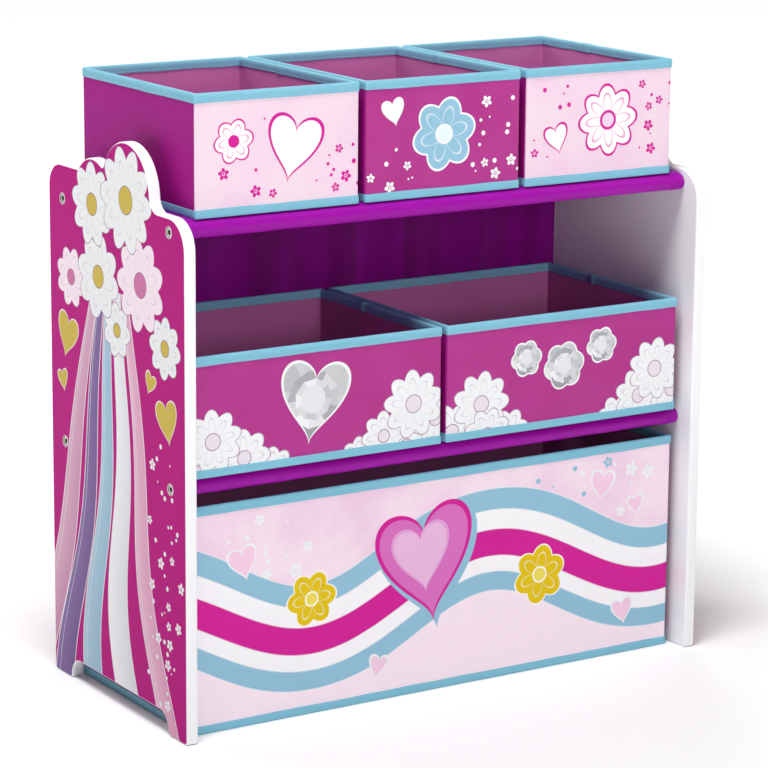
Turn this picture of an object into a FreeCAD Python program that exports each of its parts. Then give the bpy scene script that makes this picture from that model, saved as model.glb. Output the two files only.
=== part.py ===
import FreeCAD, Part
import math
import os

# A child's storage organizer: two cloud-topped side panels joined by four
# wooden rods, two fabric-covered shelves on the rods, a cloth across the back
# of the middle level, and six fabric bins in three rows.
# Frame: origin on the floor under the middle of the organizer, +X to the
# right, +Y to the back, +Z up.  All sizes in millimetres.

V = FreeCAD.Vector
os.makedirs("parts", exist_ok=True)

# ---------------------------------------------------------------- whole object
width = 605.0
depth = 278.0
panel_t = 12.5
panel_edge_r = 2.4
inner_x = width / 2 - panel_t

# ------------------------------------------------- outline of the side panels
# Heights above the floor and distances from the middle, front negative.  The
# two lobes of the cloud are circles given as y, z and radius.
back_shoulder_z = 523.5
back_corner_r = 25.0
small_lobe = (45.0, 499.5, 38.4)
tall_lobe = (-23.0, 513.5, 48.9)
lobe_notch_r = 3.5
front_sweep_r = 15.0
front_shoulder_z = 503.4
front_corner_r = 30.0
foot_corner_r = 4.0
foot_inner_r = 3.2
arch_height = 21.0
arch_corner_r = 17.8
arch_foot_y = 101.0

# ------------------------------------------------------- rods and their screws
rod_y = 109.0
upper_rod_z = 489.5
lower_rod_z = 244.5
rod_r = 7.0
rod_end_gap = 0.1
insert_r = 4.0
insert_length = 20.0
insert_bore_r = 3.0
insert_slot = 1.2
bolt_r = 2.95
bolt_length = 24.0
bolt_head_r = 5.0
bolt_head_h = 5.0
bolt_recess = 0.7
bolt_socket = 5.0
bolt_socket_depth = 2.8
head_hole_r = 5.6
shank_hole_r = 3.3

# --------------------------------------------------------------------- shelves
shelf_board_t = 2.0
shelf_board_inset = 3.0
shelf_cloth_t = 0.5
shelf_gap = 0.1
shelf_end_gap = 0.4
back_cloth_t = 0.7
back_cloth_end_gap = 1.0
back_cloth_hem_gap = 0.15
fold_depth = 2.2
fold_widths = [58.0, 34.0, 46.0, 28.0, 52.0, 40.0, 61.0, 37.0, 49.0, 44.0, 57.0, 71.0]

# ------------------------------------------------------------------------ bins
bin_depth = 228.0
bin_gap_under = 0.3
binding_t = 1.0
top_binding_h = 9.0
bottom_binding_h = 8.0
bin_cloth_t = 0.8
lining_t = 0.6
wall_board_t = 2.0
base_board_t = 2.5
cloth_corner_r = 2.4
binding_corner_r = 3.4
lining_corner_r = 1.0

shelf_top = rod_r + shelf_board_t + shelf_gap + shelf_cloth_t
small_bin_width = 180.0
small_bin_pitch = 186.0
small_bin_front_y = -111.0
small_bin_height = 117.0
middle_bin_width = 283.0
middle_bin_front_y = -122.5
middle_bin_height = 117.0
middle_left_x = -147.7
middle_right_x = 140.1
bottom_bin_width = 569.0
bottom_bin_x = -1.5
bottom_bin_front_y = -117.0
bottom_bin_height = 225.0
bottom_bin_lift = 0.3


def save(shape, node):
    shape.exportStep("parts/" + node + ".step")
    box = shape.BoundBox
    print(node, "solids", len(shape.Solids), "valid", shape.isValid(),
          "size %.1f %.1f %.1f" % (box.XLength, box.YLength, box.ZLength))


def slab(x0, x1, y0, y1, z0, z1):
    return Part.makeBox(x1 - x0, y1 - y0, z1 - z0, V(x0, y0, z0))


def rounded_slab(x0, x1, y0, y1, z0, z1, radius):
    """A box whose four upright edges are rounded."""
    body = slab(x0, x1, y0, y1, z0, z1)
    upright = [e for e in body.Edges if abs(e.Vertexes[0].Z - e.Vertexes[1].Z) > 0.001]
    return body.makeFillet(radius, upright)


def rod_along_x(x0, x1, y, z, radius):
    return Part.makeCylinder(radius, x1 - x0, V(x0, y, z), V(1, 0, 0))


# -----------------------------------------------------------------------------
# Side panels: fibreboard with a two-lobed cloud shape along the top edge, two
# feet with an arch between them, and softened edges all round.
def touch(circle, centre):
    """Point of a circle that lies towards another centre."""
    reach = math.hypot(centre[0] - circle[0], centre[1] - circle[1])
    return (circle[0] + (centre[0] - circle[0]) * circle[2] / reach,
            circle[1] + (centre[1] - circle[1]) * circle[2] / reach)


def notch_centre(first, second, radius):
    """Centre of the small hollow round that touches both lobes from above."""
    a = first[2] + radius
    b = second[2] + radius
    dy = second[0] - first[0]
    dz = second[1] - first[1]
    span = math.hypot(dy, dz)
    along = (span ** 2 + a ** 2 - b ** 2) / (2 * span)
    across = math.sqrt(a ** 2 - along ** 2)
    return (first[0] + along * dy / span + across * dz / span,
            first[1] + along * dz / span - across * dy / span)


def ledge_centre(circle, ledge_z, radius, side):
    """Centre of the hollow round that touches a lobe and a level ledge."""
    rise = ledge_z + radius - circle[1]
    return (circle[0] + side * math.sqrt((circle[2] + radius) ** 2 - rise ** 2), ledge_z + radius)


def panel_outline(x):
    half = depth / 2
    edges = []
    ends = []

    def at(p):
        return V(x, p[0], p[1])

    def add_arc(centre, radius, start, end):
        """Shorter arc between two points of a circle, after a line from the last arc."""
        middle = ((start[0] + end[0]) / 2, (start[1] + end[1]) / 2)
        bulge = touch((centre[0], centre[1], radius), middle)
        if ends and math.dist(ends[-1], start) > 0.001:
            edges.append(Part.makeLine(at(ends[-1]), at(start)))
        edges.append(Part.Arc(at(start), at(bulge), at(end)).toShape())
        ends.append(end)

    r = back_corner_r
    add_arc((half - r, back_shoulder_z - r), r,
            (half, back_shoulder_z - r), (half - r, back_shoulder_z))
    ledge = ledge_centre(small_lobe, back_shoulder_z, lobe_notch_r, 1)
    notch = notch_centre(small_lobe, tall_lobe, lobe_notch_r)
    sweep = ledge_centre(tall_lobe, front_shoulder_z, front_sweep_r, -1)
    add_arc(ledge, lobe_notch_r, (ledge[0], back_shoulder_z), touch(small_lobe, ledge))
    add_arc(small_lobe, small_lobe[2], touch(small_lobe, ledge), touch(small_lobe, notch))
    add_arc(notch, lobe_notch_r, touch(small_lobe, notch), touch(tall_lobe, notch))
    add_arc(tall_lobe, tall_lobe[2], touch(tall_lobe, notch), touch(tall_lobe, sweep))
    add_arc(sweep, front_sweep_r, touch(tall_lobe, sweep), (sweep[0], front_shoulder_z))
    r = front_corner_r
    add_arc((-half + r, front_shoulder_z - r), r,
            (-half + r, front_shoulder_z), (-half, front_shoulder_z - r))
    r = foot_corner_r
    add_arc((-half + r, r), r, (-half, r), (-half + r, 0.0))
    for side in (-1, 1):
        foot = foot_inner_r
        top = arch_corner_r
        foot_centre = (side * (arch_foot_y + foot), foot)
        arch_centre = (side * (arch_foot_y - top), arch_height - top)
        foot_low = (side * (arch_foot_y + foot), 0.0)
        foot_side = (side * arch_foot_y, foot)
        arch_side = (side * arch_foot_y, arch_height - top)
        arch_top = (side * (arch_foot_y - top), arch_height)
        if side < 0:
            add_arc(foot_centre, foot, foot_low, foot_side)
            add_arc(arch_centre, top, arch_side, arch_top)
        else:
            add_arc(arch_centre, top, arch_top, arch_side)
            add_arc(foot_centre, foot, foot_side, foot_low)
    add_arc((half - r, r), r, (half - r, 0.0), (half, r))
    edges.append(Part.makeLine(at(ends[-1]), at((half, back_shoulder_z - back_corner_r))))
    return Part.Wire(edges)


def side_panel(sign):
    outer_x = sign * width / 2
    body = Part.Face(panel_outline(outer_x)).extrude(V(-sign * panel_t, 0, 0))
    flat_faces = [f for f in body.Faces if f.BoundBox.XLength < 0.001]
    outline = [e for f in flat_faces for e in f.Edges]
    body = body.makeFillet(panel_edge_r, outline)
    depth_of_head = bolt_head_h + bolt_recess
    for y in (-rod_y, rod_y):
        for z in (upper_rod_z, lower_rod_z):
            head = Part.makeCylinder(head_hole_r, depth_of_head,
                                     V(outer_x, y, z), V(-sign, 0, 0))
            shank = Part.makeCylinder(shank_hole_r, panel_t,
                                      V(outer_x, y, z), V(-sign, 0, 0))
            body = body.cut(head).cut(shank)
    return body


save(side_panel(-1), "left_side_panel")
save(side_panel(1), "right_side_panel")


# -----------------------------------------------------------------------------
# Rods: wooden dowels that butt against the panels.  Each end is drilled for a
# threaded insert.
def rod(y, z):
    end = inner_x - rod_end_gap
    body = rod_along_x(-end, end, y, z, rod_r)
    for sign in (-1, 1):
        hole = Part.makeCylinder(insert_r, insert_length + 4.0, V(sign * end, y, z), V(-sign, 0, 0))
        body = body.cut(hole)
    return body


save(rod(-rod_y, upper_rod_z), "upper_front_rod")
save(rod(rod_y, upper_rod_z), "upper_back_rod")
save(rod(-rod_y, lower_rod_z), "lower_front_rod")
save(rod(rod_y, lower_rod_z), "lower_back_rod")


# -----------------------------------------------------------------------------
# Threaded inserts, one in each rod end, slotted for the tool that drives them.
def rod_insert(sign, y, z):
    face_x = sign * (inner_x - rod_end_gap)
    sleeve = Part.makeCylinder(insert_r, insert_length, V(face_x, y, z), V(-sign, 0, 0))
    bore = Part.makeCylinder(insert_bore_r, insert_length, V(face_x, y, z), V(-sign, 0, 0))
    slot = slab(face_x - 2.0, face_x + 2.0, y - insert_slot / 2, y + insert_slot / 2,
                z - insert_r, z + insert_r)
    return sleeve.cut(bore).cut(slot)


# Panel bolts: socket-head screws sunk in the panels' outer faces.
def panel_bolt(sign, y, z):
    top_x = sign * (width / 2 - bolt_recess)
    inward = V(-sign, 0, 0)
    head = Part.makeCylinder(bolt_head_r, bolt_head_h, V(top_x, y, z), inward)
    shank = Part.makeCylinder(bolt_r, bolt_head_h + bolt_length, V(top_x, y, z), inward)
    corner_r = bolt_socket / 2 / math.cos(math.radians(30))
    corners = []
    for k in range(7):
        angle = math.radians(60 * k)
        corners.append(V(top_x, y + corner_r * math.cos(angle), z + corner_r * math.sin(angle)))
    socket = Part.Face(Part.makePolygon(corners)).extrude(inward * bolt_socket_depth)
    return head.fuse(shank).removeSplitter().cut(socket)


positions = [(y, z) for y in (-rod_y, rod_y) for z in (lower_rod_z, upper_rod_z)]
save(Part.makeCompound([rod_insert(s, y, z) for s in (-1, 1) for y, z in positions]),
     "rod_end_inserts")
save(Part.makeCompound([panel_bolt(-1, y, z) for y, z in positions]), "left_panel_bolts")
save(Part.makeCompound([panel_bolt(1, y, z) for y, z in positions]), "right_panel_bolts")


# -----------------------------------------------------------------------------
# Shelves: a thin board lies on the front and back rods, and a cloth sleeve goes
# round the rods and over the board.
def shelf_board(rod_z):
    x = inner_x - shelf_end_gap
    y = rod_y - shelf_board_inset
    z = rod_z + rod_r
    return slab(-x, x, -y, y, z, z + shelf_board_t)


def sleeve_loop(x, rod_z, offset):
    """Closed loop round both rods and over the board, offset from them."""
    radius = rod_r + shelf_gap + offset
    top = rod_z + rod_r + shelf_board_t + shelf_gap + offset
    edge_y = rod_y - shelf_board_inset + 0.3
    reach = math.hypot(rod_y - edge_y, top - rod_z)
    lean = math.atan2(top - rod_z, rod_y - edge_y) + math.acos(radius / reach)

    def round_rod(side, angle):
        return V(x, side * (rod_y - radius * math.cos(angle)), rod_z + radius * math.sin(angle))

    low = -math.pi / 2
    front_touch = round_rod(-1, lean)
    back_touch = round_rod(1, lean)
    front_low = V(x, -rod_y, rod_z - radius)
    back_low = V(x, rod_y, rod_z - radius)
    front_top = V(x, -edge_y, top)
    back_top = V(x, edge_y, top)
    front_mid = V(x, -rod_y - radius, rod_z)
    back_mid = V(x, rod_y + radius, rod_z)
    return Part.Wire([
        Part.makeLine(front_top, front_touch),
        Part.Arc(front_touch, front_mid, front_low).toShape(),
        Part.makeLine(front_low, back_low),
        Part.Arc(back_low, back_mid, back_touch).toShape(),
        Part.makeLine(back_touch, back_top),
        Part.makeLine(back_top, front_top)])


def shelf_cover(rod_z):
    x = inner_x - shelf_end_gap
    run = V(2 * x, 0, 0)
    outside = Part.Face(sleeve_loop(-x, rod_z, shelf_cloth_t)).extrude(run)
    inside = Part.Face(sleeve_loop(-x, rod_z, 0.0)).extrude(run)
    return outside.cut(inside)


save(shelf_board(upper_rod_z), "upper_shelf_board")
save(shelf_board(lower_rod_z), "lower_shelf_board")
save(shelf_cover(upper_rod_z), "upper_shelf_cover")
save(shelf_cover(lower_rod_z), "lower_shelf_cover")


# -----------------------------------------------------------------------------
# Back cloth: hangs behind the middle level from the upper back rod's sleeve to
# the lower shelf, with shallow upright folds that die out towards both hems.
def cloth_section(z, fold):
    """One level of the cloth: front and back faces run through the same arcs."""
    x_end = inner_x - back_cloth_end_gap
    stretch = 2 * x_end / sum(fold_widths)
    fronts = []
    backs = []
    x = -x_end
    side = 1
    for w in fold_widths:
        x1 = x + w * stretch
        mid = rod_y + side * fold
        fronts.append(Part.Arc(V(x, rod_y - back_cloth_t / 2, z),
                               V((x + x1) / 2, mid - back_cloth_t / 2, z),
                               V(x1, rod_y - back_cloth_t / 2, z)).toShape())
        backs.append(Part.Arc(V(x, rod_y + back_cloth_t / 2, z),
                              V((x + x1) / 2, mid + back_cloth_t / 2, z),
                              V(x1, rod_y + back_cloth_t / 2, z)).toShape())
        x = x1
        side = -side
    right = Part.makeLine(V(x_end, rod_y - back_cloth_t / 2, z), V(x_end, rod_y + back_cloth_t / 2, z))
    left = Part.makeLine(V(-x_end, rod_y + back_cloth_t / 2, z), V(-x_end, rod_y - back_cloth_t / 2, z))
    return Part.Wire(fronts + [right] + backs[::-1] + [left])


cloth_bottom = lower_rod_z + shelf_top + back_cloth_hem_gap
cloth_top = upper_rod_z - rod_r - shelf_gap - shelf_cloth_t - back_cloth_hem_gap
cloth_levels = [(cloth_bottom, 0.3), (cloth_bottom + 0.35 * (cloth_top - cloth_bottom), 0.8),
                (cloth_bottom + 0.75 * (cloth_top - cloth_bottom), 1.0), (cloth_top, 0.4)]
sections = [cloth_section(z, fold_depth * share) for z, share in cloth_levels]
save(Part.makeLoft(sections, True, True), "back_cloth")


# -----------------------------------------------------------------------------
# Bins.  Every bin is sewn from a printed front and a plain wrap that makes the
# other three sides and the bottom.  Stiff boards stand between the wrap and the
# lining, a base board lies on the bottom, and a folded tape binds the rim and
# another the foot.
def make_bin(name, centre_x, front_y, floor_z, bin_width, bin_height):
    x0 = centre_x - bin_width / 2
    x1 = centre_x + bin_width / 2
    y0 = front_y
    y1 = front_y + bin_depth
    z0 = floor_z
    z1 = floor_z + bin_height

    def inset(d, low, high, radius):
        return rounded_slab(x0 + d, x1 - d, y0 + d, y1 - d, low, high, radius)

    cloth_in = binding_t + bin_cloth_t
    board_in = cloth_in + wall_board_t
    lining_in = board_in + lining_t
    wall_top = z1 - binding_t
    base_z = z0 + bin_cloth_t
    base_top = base_z + base_board_t

    shell = inset(binding_t, z0, wall_top, cloth_corner_r)
    shell = shell.cut(inset(cloth_in, base_z, wall_top + 1, cloth_corner_r - bin_cloth_t))
    seam_y = y0 + binding_t + cloth_corner_r
    front_zone = slab(x0 - 1, x1 + 1, y0 - 1, seam_y, base_z, z1 + 1)
    save(shell.common(front_zone), name + "_front_panel")
    save(shell.cut(front_zone), name + "_wrap")

    lining = inset(board_in, base_top, wall_top, lining_corner_r)
    lining = lining.cut(inset(lining_in, base_top + lining_t, wall_top + 1, lining_corner_r / 2))
    save(lining, name + "_lining")

    side_y0 = y0 + board_in
    side_y1 = y1 - board_in
    boards = [
        slab(x0 + cloth_in, x0 + board_in, side_y0, side_y1, base_z, wall_top),
        slab(x1 - board_in, x1 - cloth_in, side_y0, side_y1, base_z, wall_top),
        slab(x0 + board_in, x1 - board_in, y0 + cloth_in, side_y0, base_z, wall_top),
        slab(x0 + board_in, x1 - board_in, side_y1, y1 - cloth_in, base_z, wall_top)]
    save(Part.makeCompound(boards), name + "_wall_boards")

    base = slab(x0 + board_in, x1 - board_in, side_y0, side_y1, base_z, base_top)
    save(base, name + "_base_board")

    rim = inset(0.0, z1 - top_binding_h, z1, binding_corner_r)
    rim = rim.cut(inset(lining_in + binding_t, z1 - top_binding_h, z1, lining_corner_r / 2))
    channel = inset(binding_t, z1 - top_binding_h, wall_top, cloth_corner_r)
    channel = channel.cut(inset(lining_in, z1 - top_binding_h, wall_top, lining_corner_r / 2))
    save(rim.cut(channel), name + "_top_binding")

    foot = inset(0.0, z0, z0 + bottom_binding_h, binding_corner_r)
    foot = foot.cut(inset(binding_t, z0, z0 + bottom_binding_h, cloth_corner_r))
    save(foot, name + "_bottom_binding")


upper_floor = upper_rod_z + shelf_top + bin_gap_under
lower_floor = lower_rod_z + shelf_top + bin_gap_under
for place, name in ((-1, "top_left_bin"), (0, "top_middle_bin"), (1, "top_right_bin")):
    make_bin(name, place * small_bin_pitch, small_bin_front_y, upper_floor,
             small_bin_width, small_bin_height)
make_bin("middle_left_bin", middle_left_x, middle_bin_front_y, lower_floor,
         middle_bin_width, middle_bin_height)
make_bin("middle_right_bin", middle_right_x, middle_bin_front_y, lower_floor,
         middle_bin_width, middle_bin_height)
make_bin("bottom_bin", bottom_bin_x, bottom_bin_front_y, bottom_bin_lift,
         bottom_bin_width, bottom_bin_height)
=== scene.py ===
import math
import random

import bpy
import numpy as np
from mathutils import Matrix, Vector, noise


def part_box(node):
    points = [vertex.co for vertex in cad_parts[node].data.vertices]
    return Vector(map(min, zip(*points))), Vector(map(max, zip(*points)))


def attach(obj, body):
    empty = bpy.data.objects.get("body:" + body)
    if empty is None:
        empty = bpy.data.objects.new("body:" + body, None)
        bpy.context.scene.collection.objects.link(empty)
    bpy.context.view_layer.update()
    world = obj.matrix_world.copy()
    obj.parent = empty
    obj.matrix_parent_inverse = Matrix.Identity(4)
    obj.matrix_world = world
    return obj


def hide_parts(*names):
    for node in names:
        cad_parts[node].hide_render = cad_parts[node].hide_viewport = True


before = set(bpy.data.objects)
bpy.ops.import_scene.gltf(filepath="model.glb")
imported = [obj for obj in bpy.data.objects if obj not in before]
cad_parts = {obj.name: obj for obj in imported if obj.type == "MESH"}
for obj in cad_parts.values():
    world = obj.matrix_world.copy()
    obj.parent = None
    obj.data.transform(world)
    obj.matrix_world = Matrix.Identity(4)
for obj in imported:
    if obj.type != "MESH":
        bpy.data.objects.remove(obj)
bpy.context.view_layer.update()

# ---------------------------------------------------------------------------
# Side panels: two fibreboard ends cut to a cloud-topped outline, painted white
# all over.  The outer faces carry a print that stops at the rounded edge: large
# daisies, ribbons that hang from them, gold hearts, small blossoms and dots.


class Term:
    """One output of a shader node.  Arithmetic on it adds Math nodes."""

    def __init__(self, finish, socket):
        self.finish = finish
        self.socket = socket

    def math(self, operation, *others, clamp=False):
        settings = {"operation": operation, "use_clamp": clamp}
        return self.finish.node("ShaderNodeMath", settings, (self, *others))

    def vector(self, operation, other, output=0):
        settings = {"operation": operation}
        return self.finish.node("ShaderNodeVectorMath", settings, (self, other), output)

    def __add__(self, other):
        return self.math("ADD", other)

    __radd__ = __add__

    def __sub__(self, other):
        return self.math("SUBTRACT", other)

    def __rsub__(self, other):
        return self.math("MULTIPLY_ADD", -1.0, other)

    def __mul__(self, other):
        return self.math("MULTIPLY", other)

    __rmul__ = __mul__

    def __abs__(self):
        return self.math("ABSOLUTE")

    def outlet(self, name):
        return Term(self.finish, self.socket.node.outputs[name])

    def split(self):
        parts = self.finish.node("ShaderNodeSeparateXYZ", {}, (self,))
        return parts, parts.outlet("Y"), parts.outlet("Z")

    def edge(self, softness=0.3):
        """1 where this distance is above zero and 0 below it."""
        return self.math("MULTIPLY_ADD", 1.0 / softness, 0.5, clamp=True)

    def mix(self, below, above):
        """One colour where this mask is 0 and the other where it is 1."""
        return self.finish.node("ShaderNodeMix", {"data_type": "RGBA"}, {0: self, 6: below, 7: above}, 2)


class Finish:
    """A material on one surface shader."""

    def __init__(self, name, sockets):
        self.material = bpy.data.materials.new(name)
        self.material.use_nodes = True
        self.tree = self.material.node_tree
        self.shader = self.tree.nodes["Principled BSDF"]
        self.place = self.node("ShaderNodeTexCoord", output="Object")
        self.show(sockets)

    def node(self, kind, settings=(), sockets=(), output=0):
        made = self.tree.nodes.new(kind)
        for setting, value in dict(settings).items():
            setattr(made, setting, value)
        pairs = sockets.items() if isinstance(sockets, dict) else enumerate(sockets)
        for socket, value in pairs:
            self.feed(made.inputs[socket], value)
        return Term(self, made.outputs[output])

    def feed(self, socket, value):
        if isinstance(value, Term):
            self.tree.links.new(value.socket, socket)
        else:
            socket.default_value = value

    def show(self, sockets):
        for name, value in sockets.items():
            self.feed(self.shader.inputs[name], value)

    def noise(self, scale, detail=2.0, stretch=(1.0, 1.0, 1.0)):
        """Uneven values from 0 to 1, scale times a metre."""
        place = self.place.vector("MULTIPLY", stretch)
        sockets = {"Vector": place, "Scale": scale, "Detail": detail}
        return self.node("ShaderNodeTexNoise", {}, sockets)

    def bump(self, height, depth):
        """Surface relief: height from 0 to 1 over a depth in metres."""
        sockets = {"Strength": 1.0, "Distance": depth, "Height": height}
        self.show({"Normal": self.node("ShaderNodeBump", {}, sockets)})

    def flat(self, across, up):
        """A flat drawing plane from two lengths."""
        return self.node("ShaderNodeCombineXYZ", {}, (across, up, 0.0))


def tone(red, green, blue):
    """A colour given in steps of 255, as the shaders take it."""
    return (*[(part / 255) ** 2.2 for part in (red, green, blue)], 1.0)


def middle_mm(low, high):
    """Halfway between two places in metres, in mm."""
    return 500.0 * (low + high)


def spot(art, centre, size, turn=0.0):
    """The drawing plane seen from a motif's own centre, size and turn."""
    sockets = {"Vector": art, "Location": (*centre, 0.0), "Scale": (size, size, 1.0),
               "Rotation": (0.0, 0.0, math.radians(turn))}
    return art.finish.node("ShaderNodeMapping", {"vector_type": "TEXTURE"}, sockets)


def reach(place):
    """How far a place lies from its own centre."""
    return place.vector("LENGTH", (0.0, 0.0, 0.0), "Value")


def disc(art, centre, radius):
    """Distance inside a round dot."""
    return radius - reach(spot(art, centre, 1.0))


def bloom(place, size, petals, depth):
    """Distance inside a flower with round petals."""
    across, up, _ = place.split()
    lobes = abs((up.math("ARCTAN2", across) * (petals / 2)).math("COSINE"))
    return (lobes * depth + (1.0 - depth) - reach(place)) * size


def heart(art, centre, size, turn=0.0):
    """Distance inside a heart."""
    across, up, _ = spot(art, centre, size, turn).split()
    side = abs(across)
    rise = up * 1.22 - side.math("SQRT") + 0.25
    return (1.0 - (side * side + rise * rise).math("SQRT")) * size


def ink(colour, shape, line, width, fill):
    """A shape drawn with an outline round its filling."""
    colour = shape.edge().mix(colour, line)
    return (shape - width).edge().mix(colour, fill)


def daisy(colour, art, centre, size, petals, look, turn=0.0):
    """A flower: outline, petals with a crease between them, and its centre."""
    place = spot(art, centre, size, turn)
    shape = bloom(place, size, petals, 0.24)
    colour = ink(colour, shape, look["line"], look["width"], look["petal"])
    inner = bloom(place, size, petals, 0.5) - 0.28 * size
    crease = (0.5 * look["width"] - abs(inner)).edge()
    colour = (crease * 0.55).mix(colour, look["line"])
    heart_of_it = 0.27 * size - reach(place) * size
    return ink(colour, heart_of_it, look["line"], look["width"], look["middle"])


def strew(colour, art, area, keep_off, count, seed, line, sizes=(1.1, 1.7, 2.4, 4.6, 6.0)):
    """Small five-petalled flowers and dots strewn over an area, given by its
    middle and half its width and height, clear of the larger motifs."""
    chance = random.Random(seed)
    middle_x, middle_y, half_x, half_y = area
    taken = list(keep_off)
    gap, smallest_flower, eye, eye_line = 2.0, 4.0, 0.24, 0.35
    for _ in range(count):
        size = chance.choice(sizes)
        centre = (middle_x + chance.triangular(-half_x, half_x),
                  middle_y + chance.uniform(-half_y, half_y))
        turn = chance.uniform(0.0, 72.0)
        if any(math.dist(centre, other) < room + size + gap for other, room in taken):
            continue
        taken.append((centre, size))
        if size < smallest_flower:
            shape = disc(art, centre, size)
        else:
            place = spot(art, centre, size, turn)
            ring = abs(reach(place) - eye) * size - eye_line
            shape = bloom(place, size, 5, 0.5).math("MINIMUM", ring)
        colour = shape.edge().mix(colour, line)
    return colour


white_print = tone(240, 241, 243)
gold_print = tone(208, 182, 84)

to_mm = (1000.0, 1000.0, 1000.0)
panel = Finish("panel_paint_and_print", {"Specular IOR Level": 0.03})
x, y, z = panel.place.vector("MULTIPLY", to_mm).split()
art = panel.flat(y, z)
deep_patches = panel.noise(2.2).math("MULTIPLY_ADD", 1.6, -0.3, clamp=True)
printed = deep_patches.mix(tone(188, 16, 130), tone(178, 22, 122))

# Ribbons hang from the daisies and widen as they fan out towards the floor.
# Each is start, lean, sway, phase, narrow and wide half width, and two shades.
ribbon_top, ribbon_waves = 415.0, 7.2
ribbon_rim, hem_line, hem_place = 1.3, 0.5, 0.55
drop = (ribbon_top - z) * (1.0 / ribbon_top)
ribbons = [
    (40.0, 118.0, 13.0, 0.4, 7.0, 25.0, tone(208, 150, 182), tone(222, 178, 200)),
    (26.0, 76.0, 16.0, 1.1, 7.0, 21.0, tone(122, 96, 150), tone(140, 116, 168)),
    (12.0, 34.0, 17.0, 1.9, 7.0, 21.0, tone(156, 190, 214), tone(176, 206, 224)),
    (-4.0, -14.0, 19.0, 2.6, 8.0, 25.0, tone(226, 228, 234), tone(246, 246, 248)),
    (-20.0, -70.0, 17.0, 3.3, 7.0, 19.0, tone(222, 158, 190), tone(236, 190, 212))]
for start, lean, sway, phase, narrow, wide, dark, light in ribbons:
    swing = (drop * ribbon_waves + phase).math("SINE") * drop * sway
    aside = y - (drop * lean + start + swing)
    half = drop * (wide - narrow) + narrow
    body = (half - abs(aside)).math("MINIMUM", drop * 100.0)
    shade = aside.math("MULTIPLY_ADD", 0.03, 0.5, clamp=True).mix(dark, light)
    printed = ink(printed, body, white_print, ribbon_rim, shade)
    hem = (hem_line - abs(aside - half * hem_place)).math("MINIMUM", body).edge()
    printed = (hem * 0.6).mix(printed, white_print)

printed = strew(printed, art, (-96.0, 118.0, 36.0, 96.0), [], 60, 5, white_print)
printed = strew(printed, art, (-90.0, 262.0, 40.0, 30.0), [], 12, 6, white_print)

white_daisy = {"line": tone(150, 112, 140), "width": 0.9, "petal": white_print, "middle": gold_print}
pink_daisy = {"line": tone(168, 110, 146), "width": 0.9, "petal": tone(250, 232, 242),
              "middle": tone(206, 120, 168)}
for centre, size, petals, look, turn in (
        ((-4.0, 378.0), 28.0, 7, white_daisy, 30.0), ((92.0, 414.0), 31.0, 8, pink_daisy, 20.0),
        ((-100.0, 378.0), 31.0, 8, white_daisy, 5.0), ((34.0, 424.0), 43.0, 8, white_daisy, 12.0),
        ((-52.0, 430.0), 47.0, 9, pink_daisy, 0.0), ((46.0, 493.0), 42.0, 9, white_daisy, 8.0),
        ((-24.0, 507.0), 52.0, 10, white_daisy, 3.0)):
    printed = daisy(printed, art, centre, size, petals, look, turn)
for centre, size, turn in (((102.0, 352.0), 22.0, 14.0), ((-104.0, 306.0), 21.0, -12.0),
                           ((-70.0, 338.0), 11.0, 20.0), ((112.0, 306.0), 11.0, -14.0)):
    printed = ink(printed, heart(art, centre, size, turn), white_print, 1.2, gold_print)

# The bolt holes: a white margin round each, and raw fibreboard on their walls.
rod_low, rod_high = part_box("upper_front_rod")
upper_rod_z = middle_mm(rod_low.z, rod_high.z)
rod_low, rod_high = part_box("lower_front_rod")
lower_rod_z = middle_mm(rod_low.z, rod_high.z)
rod_low, rod_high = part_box("upper_back_rod")
rod_y = middle_mm(rod_low.y, rod_high.y)
folded = panel.flat(abs(y), z)
from_hole = reach(folded.vector("SUBTRACT", (rod_y, upper_rod_z, 0.0)))
from_hole = from_hole.math("MINIMUM", reach(folded.vector("SUBTRACT", (rod_y, lower_rod_z, 0.0))))
outer_face = 1000.0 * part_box("right_side_panel")[1].x
white_margin, bare_wall = 5.95, 5.72
print_depth, bare_from = 0.25, 0.4
face_print = (abs(x) - (outer_face - print_depth)).edge(0.1) * (from_hole - white_margin).edge()
bore = (bare_wall - from_hole).edge(0.1) * (outer_face - bare_from - abs(x)).edge(0.2)
painted = face_print.mix(tone(247, 247, 249), printed)
speckle = panel.noise(900.0, 1.0)
board = speckle.mix(tone(120, 100, 74), tone(164, 140, 104))
brushed = panel.noise(160.0, 3.0)
panel.show({
    "Base Color": bore.mix(painted, board),
    "Roughness": (face_print * -0.06 + 0.36 + brushed * 0.06).math("MAXIMUM", bore * 0.85)})
panel.bump(panel.noise(240.0, 2.0) * 0.6 + speckle * 0.4, 0.00012)


def coat(finish, slot, *nodes):
    """Gives rigid parts their finish."""
    for node in nodes:
        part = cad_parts[node]
        for place in part.material_slots:
            place.material = finish.material


coat(panel, "painted_board", "left_side_panel", "right_side_panel")

# ---------------------------------------------------------------------------
# Rods and fastenings: four beech dowels butt against the panels.  A slotted
# brass insert sits in each rod end, and a plated socket-head bolt goes through
# the panel into it.
rod_wood = Finish("rod_beech", {"Specular IOR Level": 0.3})
rings = rod_wood.noise(60.0, 4.0, (0.06, 1.0, 1.0))
pores = rod_wood.noise(700.0, 2.0, (0.08, 1.0, 1.0))
grain = rings.mix(tone(206, 168, 120), tone(226, 194, 150))
pore_marks = pores.math("MULTIPLY_ADD", 3.0, -1.6, clamp=True)
rod_wood.show({"Base Color": pore_marks.mix(grain, tone(176, 134, 90)), "Roughness": pores * 0.2 + 0.5})
rod_wood.bump(pores, 0.0001)
coat(rod_wood, "rod_wood", "upper_front_rod", "upper_back_rod", "lower_front_rod", "lower_back_rod")

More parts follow.
